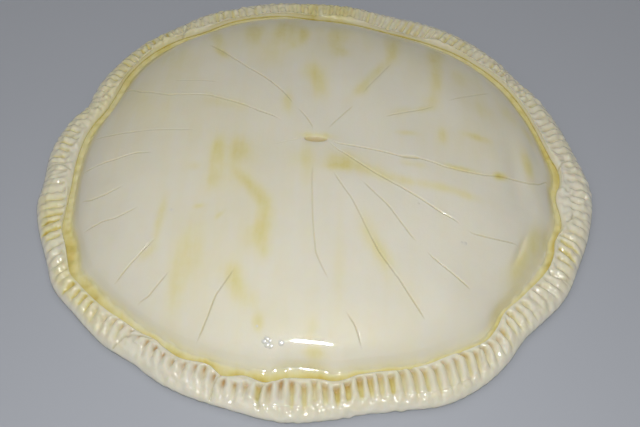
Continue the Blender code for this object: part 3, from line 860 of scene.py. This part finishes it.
def cut_depth_and_width(radius):
    """How deep and how wide every cut is at these radii, one row for each cut."""
    depth = np.zeros((len(CUTS),) + radius.shape)
    width = np.full((len(CUTS),) + radius.shape, 0.5)
    for number, (_, stretches) in enumerate(CUTS):
        for start, end, deep, wide in stretches:
            ramp = min(CUT_END, (end - start) / 2)
            inside = smooth_step(start, start + ramp, radius) * (
                1 - smooth_step(end - ramp, end, radius)
            )
            depth[number] = np.maximum(depth[number], deep * inside)
            width[number] = np.maximum(width[number], wide * inside)
    return depth, width


def lid_columns():
    """For each column of the lid: the cut that it belongs to, which side of it the column is
    on, its place in CUT_COLUMNS, or its share of the way to the next cut."""
    at_rim = [knots[-1][1] for knots, _ in CUTS]
    gaps = [(at_rim[(i + 1) % len(CUTS)] - at_rim[i]) % 360 for i in range(len(CUTS))]
    beside = len(CUT_COLUMNS)
    spare = LID_COLUMNS - len(CUTS) * (2 * beside - 1)
    shares = np.cumsum([0.0] + gaps) / sum(gaps) * spare
    columns = []
    for cut in range(len(CUTS)):
        columns += [(cut, place, 0.0) for place in range(beside)]
        between = round(shares[cut + 1]) - round(shares[cut])
        columns += [(cut, beside, (i + 1) / (between + 1)) for i in range(between)]
        columns += [(cut, -place, 0.0) for place in range(beside - 1, 0, -1)]
    return np.array(columns)


def lid_angles(columns, radius):
    """The angle of each point of the lid, and its height over or under the plain dome."""
    radii, paths = cut_paths()
    cut = columns[:, 0].astype(int)
    place = columns[:, 1].astype(int)
    share = columns[:, 2]
    count = len(CUTS)
    lanes = np.array([np.interp(radius, radii, path) for path in paths])
    number = np.arange(radius.shape[1])
    here = lanes[cut, :, number].T
    ahead = lanes[(cut + 1) % count, :, number].T + np.where(cut + 1 == count, math.tau, 0.0)
    depth, width = cut_depth_and_width(radius)
    deep_here, wide_here = depth[cut, :, number].T, width[cut, :, number].T
    deep_ahead = depth[(cut + 1) % count, :, number].T
    wide_ahead = width[(cut + 1) % count, :, number].T
    gap = ahead - here
    offsets, heights = (np.array(column) for column in zip(*CUT_COLUMNS))

    def off(steps, wide):
        most = gap * CUT_COLUMNS_SHARE * steps / offsets[-1]
        return np.minimum(steps * wide / radius, most)

    last = offsets[-1]
    first = here + off(last, wide_here)
    final = ahead - off(last, wide_ahead)
    before = place < 0
    spread = place >= len(CUT_COLUMNS)
    near = np.clip(np.abs(place), 0, len(offsets) - 1)
    beside = np.where(
        before, ahead - off(offsets[near], wide_ahead), here + off(offsets[near], wide_here)
    )
    angle = np.where(spread, first + (final - first) * share, beside)
    rise = np.where(spread, 0.0, heights[near] * np.where(before, deep_ahead, deep_here))
    in_cut = np.sqrt(np.clip(-rise, 0.0, None))
    return angle, rise, in_cut


def oval_at(x, y, middle_x, middle_y, length, width, turn):
    """How far off the middle of an oval a point is, squared. On its edge that is 1."""
    c, s = math.cos(math.radians(turn)), math.sin(math.radians(turn))
    dx, dy = x - middle_x, y - middle_y
    u, v = (dx * c + dy * s) / length, (dy * c - dx * s) / width
    return u * u + v * v


def relief_at(x, y):
    """How far the lid swells or sinks at a point."""
    height = 0.0 * x
    for *oval, rise in RELIEF:
        height = height + rise * np.exp(-oval_at(x, y, *oval))
    return height + waves_at(x, y, *LID_WAVES, 4)


def stain_at(x, y):
    """How thick the egg is at a point of the lid where the brush left more of it."""
    thickness = 0.0 * x
    for *oval, strength in STAINS:
        blob = strength * np.exp(-(oval_at(x, y, *oval) ** STAIN_POWER) * STAIN_FALL)
        thickness = thickness + blob * (1 - thickness)
    return thickness


def plain_dome(share):
    return LID_FOOT_HEIGHT + LID_RISE * (1 - share**DOME_POWER) ** DOME_FLANK


def dome(share):
    """The lid's height, with a foot that eases off where the two rounds are pressed together."""
    inside = np.clip(share, 0.0, 1.0)
    top, below = plain_dome(SKIRT), plain_dome(SKIRT + 0.001)
    span = 1 - SKIRT
    t = np.clip((inside - SKIRT) / span, 0.0, 1.0)
    eased = (
        top * (2 * t**3 - 3 * t**2 + 1) + (below - top) * 1000 * span * (t**3 - 2 * t**2 + t)
        + SKIRT_FOOT * (3 * t**2 - 2 * t**3) + SKIRT_SLOPE * span * (t**3 - t**2)
    )
    return np.where(inside < SKIRT, plain_dome(np.minimum(inside, SKIRT)), eased)


def lid_shares():
    """The rings of the lid, from its foot in to the vent's edge, as shares of the way out."""
    zones = [
        np.linspace(low, high, rings, endpoint=False)
        for low, high, rings in zip(LID_SHARES, LID_SHARES[1:], LID_ZONE_RINGS)
    ]
    return np.append(np.concatenate(zones), 1.0)[::-1]


def scored_lid(material):
    columns = lid_columns()
    shares = lid_shares()
    share = np.repeat(shares[:, None], LID_COLUMNS, 1)
    radius = share * LID_RADIUS
    for _ in range(SETTLING_ROUNDS):
        angle, rise, in_cut = lid_angles(columns, radius)
        even, foot = even_foot(angle), lid_foot(angle)
        radius = share * even + (foot - even) * share**FOOT_POWER
    x, y = radius * np.cos(angle), radius * np.sin(angle)
    fade = 1 - smooth_step(*LID_FADE, share)
    up = dome(share) + rise + relief_at(x, y) * fade
    climb = around(CLIMB, angle)
    pooled = FOOT_EGG ** around(POOL_RISES, angle)
    pooled = pooled * around(POOL_DEPTH, angle).clip(0.0, 1.0)
    pooled = pooled * (1 - smooth_step(0.0, 1.0, (foot - radius) / climb)) ** 1.5
    wet = stain_at(x, y)
    wet = 1 - (1 - wet) * (1 - pooled)
    wet = np.maximum(wet, np.clip(in_cut * 0.4, 0, 0.3))
    # Painted shade: in the cuts, warm and darker the deeper they are, and a painted shadow in the
    # hollow at the lid's foot
    tan = np.clip(in_cut * 0.15, 0, 0.15)
    dark = around(FOOT_SHADE, angle) * (1 - smooth_step(0.0, FOOT_SHADE_REACH, foot - radius))
    dark = np.maximum(dark, np.clip(in_cut * 0.42, 0, 0.26))

    # The vent's wall at the middle, and the foot sunk under the egg at the outside
    turn = np.arctan2(y[-1], x[-1])
    slot_x, slot_y = VENT_LENGTH / 2 * np.cos(turn), VENT_WIDTH / 2 * np.sin(turn)
    mid_x, mid_y = VENT_MIDDLE
    vent_rows = [
        (mid_x + slot_x * size, mid_y * (1 - VENT_LEAN * depth) + slot_y * size,
         up[-1] - VENT_SAG - depth * VENT_DEPTH)
        for size, depth, _ in VENT_WALL
    ]
    sink_rows = [
        ((radius[0] + outwards) * np.cos(angle[0]), (radius[0] + outwards) * np.sin(angle[0]),
         up[0] + rises)
        for outwards, rises in LID_SINK[::-1]
    ]
    # Rings near the slot change from round to its shape
    vent_edge = VENT_SHARE * LID_RADIUS
    pull = smooth_step(vent_edge + VENT_PULL, vent_edge - 0.1, radius)
    (length, longer), (width, wider) = VENT_LIP
    lip_x = VENT_LENGTH / 2 * length * np.cos(angle) * (1 + longer * (radius - radius[-1]))
    lip_y = VENT_WIDTH / 2 * width * np.sin(angle) * (1 + wider * (radius - radius[-1]))
    x = x * (1 - pull) + (lip_x + mid_x) * pull
    y = y * (1 - pull) + (lip_y + mid_y) * pull
    up = up - VENT_SAG * pull**3
    x, y, up = (
        np.vstack([[row[axis] for row in sink_rows], lid, [row[axis] for row in vent_rows]])
        for axis, lid in enumerate((x, y, up))
    )
    sunk, opened = len(sink_rows), len(vent_rows)
    # Painted shade down the vent's wall, warm and darker the deeper it goes
    walls = np.array([shade for _, _, shade in VENT_WALL])[:, None]
    wet = np.vstack([
        wet[:1] + np.zeros((sunk, 1)), wet, np.full((opened, LID_COLUMNS), 0.3)
    ])
    tan = np.vstack([np.zeros((sunk, LID_COLUMNS)), tan, walls + 0 * angle[:1]])
    dark = np.vstack([dark[:1] + np.zeros((sunk, 1)), dark, 0.4 * walls**2 + 0 * angle[:1]])

    dark = dark.clip(0.0, 1.0)
    ringed_piece(
        "scored_upper_round", material, "dough", (x, y, up), wash=wet, tan=tan, dark=dark
    )


# ---------------------------------------------------------------- the pooled egg
def egg_pool(material):
    angle = np.arange(POOL_COLUMNS) / POOL_COLUMNS * math.tau
    lip, foot = around(LIP, angle), lid_foot(angle)
    rings = {
        "lid": lambda amount: foot + amount,
        "between": lambda amount: foot + (lip - foot) * amount,
        "lip": lambda amount: lip + amount,
    }
    radius = np.array([rings[where](amount) for where, amount, _, _ in POOL_SECTION])
    x, y = radius * np.cos(angle), radius * np.sin(angle)
    up = np.array([POOL_HEIGHT + rise + 0.0 * angle for _, _, rise, _ in POOL_SECTION])
    free = np.array([1.0 if where == "between" else 0.0 for where, _, _, _ in POOL_SECTION])
    up += free[:, None] * waves_at(x, y, *POOL_WAVES, 6)
    rises = around(POOL_RISES, angle)
    deep = np.array([
        share**rises * around(POOL_DEPTH, angle) for _, _, _, share in POOL_SECTION
    ])
    wet = deep.clip(0.0, 1.0)
    ringed_piece("egg_wash_pool", material, "egg_wash", (x, y, up), tube=True, wash=wet)


# ---------------------------------------------------------------- beads of egg
def lid_height(x, y):
    radius, angle = np.hypot(x, y), np.arctan2(y, x)
    even, foot = even_foot(angle), lid_foot(angle)
    share = radius / even
    for _ in range(SETTLING_ROUNDS):
        share = (radius - (foot - even) * share**FOOT_POWER) / even
    return dome(share) + relief_at(x, y) * (1 - smooth_step(*LID_FADE, share))


def egg_beads(material):
    """Beads left by the brush, flattened and set into the lid along its slope."""
    bm = bmesh.new()
    step = 0.2
    for x, y, size in BEADS:
        side, front = (
            (lid_height(x + dx, y + dy) - lid_height(x - dx, y - dy)) / (2 * step)
            for dx, dy in ((step, 0.0), (0.0, step))
        )
        normal = Vector((-side, -front, 1.0)).normalized()
        place = Vector((x, y, lid_height(x, y))) * MM
        seat = (
            Matrix.Translation(place - normal * BEAD_SUNK * size * MM)
            @ normal.to_track_quat("Z", "Y").to_matrix().to_4x4()
            @ Matrix.Diagonal((size * MM, size * MM, BEAD_FLAT * size * MM, 1.0))
        )
        bmesh.ops.create_uvsphere(bm, u_segments=20, v_segments=12, radius=1.0, matrix=seat)
    mesh = mesh_of(bm, "egg_beads")
    note(mesh, "wash", np.zeros(len(mesh.vertices)))
    piece("egg_beads", mesh, material)


# ---------------------------------------------------------------- stage
def plain_stage():
    bm = bmesh.new()
    bmesh.ops.create_grid(bm, x_segments=2, y_segments=2, size=1.6)
    floor = put_in_scene("floor", mesh_of(bm, "floor"))
    looks = Finish("pale_floor").surface(Base_Color=linear(176, 180, 188), Roughness=0.75)
    floor.data.materials.append(looks)


def light(name, place, target, size, power, colour=(1.0, 1.0, 1.0), roll=0.0):
    lamp = bpy.data.lights.new(name, "AREA")
    lamp.shape = "RECTANGLE"
    lamp.size, lamp.size_y = size
    lamp.energy = power
    lamp.color = colour
    holder = put_in_scene(name, lamp)
    away = Vector(place) - Vector(target)
    holder.location = place
    aim = away.to_track_quat("Z", "Y").to_matrix() @ Matrix.Rotation(math.radians(roll), 3, "Z")
    holder.rotation_euler = aim.to_euler()


def lights_and_camera():
    light(
        "small_softbox", (0.01, -0.341, 0.443), (0, -0.02, 0.02), (0.052, 0.026), 1.14, roll=-28
    )
    light("overhead_softbox", (-0.22, 0.0, 1.9), (0, 0, 0), (3.2, 3.2), 12.9, (0.99, 0.99, 0.99))
    light("near_softbox", (-0.1, -1.45, 0.6), (0, 0, 0.01), (1.4, 0.8), 1.1)
    world = bpy.data.worlds.new("soft_surroundings")
    world.use_nodes = True
    background = world.node_tree.nodes["Background"]
    background.inputs["Color"].default_value = (1.0, 0.975, 0.95, 1.0)
    background.inputs["Strength"].default_value = 0.19
    bpy.context.scene.world = world

    camera = put_in_scene("camera", bpy.data.cameras.new("camera"))
    camera.data.lens = 57.1
    camera.data.sensor_width = 36.0
    camera.data.clip_start = 0.01
    tilt, roll = math.radians(90 - 50.4), math.radians(2.8)
    camera.matrix_world = (
        Matrix.Translation((0.00354, -0.36738, 0.41823))
        @ Matrix.Rotation(tilt, 4, "X") @ Matrix.Rotation(roll, 4, "Z")
    )
    bpy.context.scene.camera = camera
    bpy.context.scene.view_settings.view_transform = "Standard"


crimped_rim(dough_finish("crimped_dough", 1.0, 0.16))
scored_lid(dough_finish("smooth_dough", 0.22, 0.5))
egg_pool(egg_finish("pooled_egg_wash", 1.0, 0.06))
egg_beads(egg_finish("beaded_egg_wash", 0.02, 0.15))
plain_stage()
lights_and_camera()
